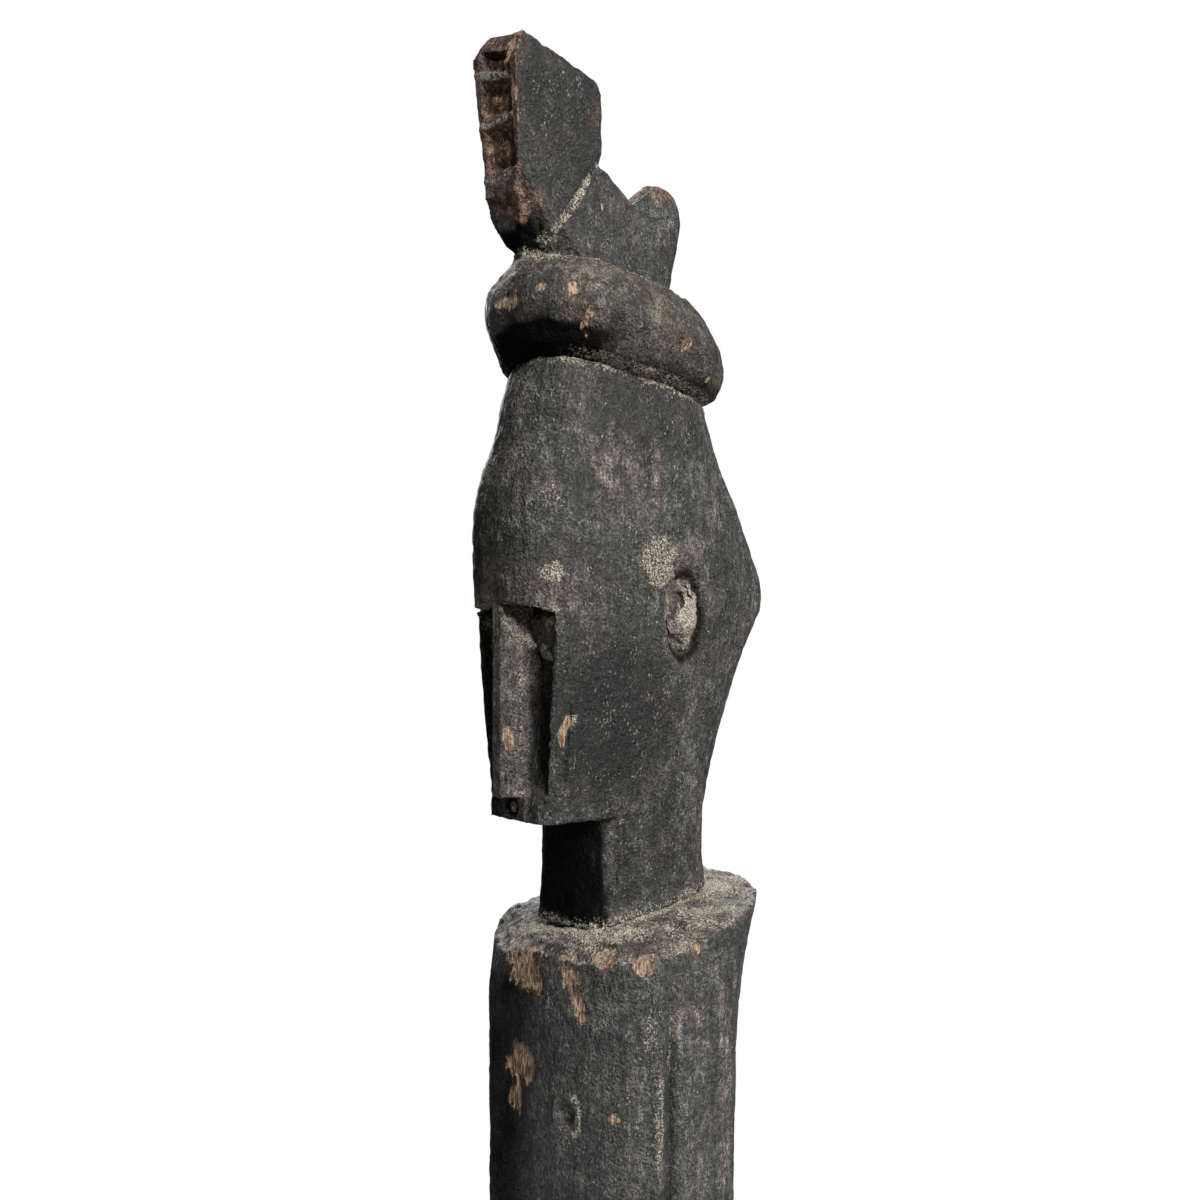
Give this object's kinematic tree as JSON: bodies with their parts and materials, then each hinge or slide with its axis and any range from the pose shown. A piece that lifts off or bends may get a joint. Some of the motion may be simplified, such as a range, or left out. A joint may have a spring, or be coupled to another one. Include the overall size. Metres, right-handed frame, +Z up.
{
  "type": "standing carved ancestor figure",
  "caption": "Slender standing ancestor figure in blackened wood with a long narrow head, slab nose, rolled headband and tall notched crest, on a round plinth.",
  "frame": {"origin": "centre of the round underside of the plinth, on the surface the figure stands on", "axes": "+Z up along the log; the figure faces -Y and its left side is +X"},
  "size_m": [0.138, 0.138, 0.86],
  "materials": {
    "trunk_wood": "smoke-blackened, satin patina with pale dust in the grain",
    "head_wood": "smoke-blackened, greenish-black satin patina",
    "nose_wood": "blackened and handled to a low gloss",
    "ear_wood": "rough, crusted with pale dust",
    "headband_wood": "blackened, chipped to tan wood in places",
    "crest_wood": "blackened, worn reddish brown on the edges"
  },
  "bodies": {
    "root": {"plinth": "trunk_wood", "left_foot": "trunk_wood", "right_foot": "trunk_wood", "left_leg": "trunk_wood", "right_leg": "trunk_wood", "hips": "trunk_wood", "torso": "trunk_wood", "left_arm": "trunk_wood", "right_arm": "trunk_wood", "neck": "head_wood", "face": "head_wood", "cranium": "head_wood", "nose": "nose_wood", "left_ear": "ear_wood", "right_ear": "ear_wood", "headband": "headband_wood", "crest_saddle": "crest_wood", "crest_knob": "crest_wood", "crest_fin": "crest_wood"}
  },
  "joints": []
}
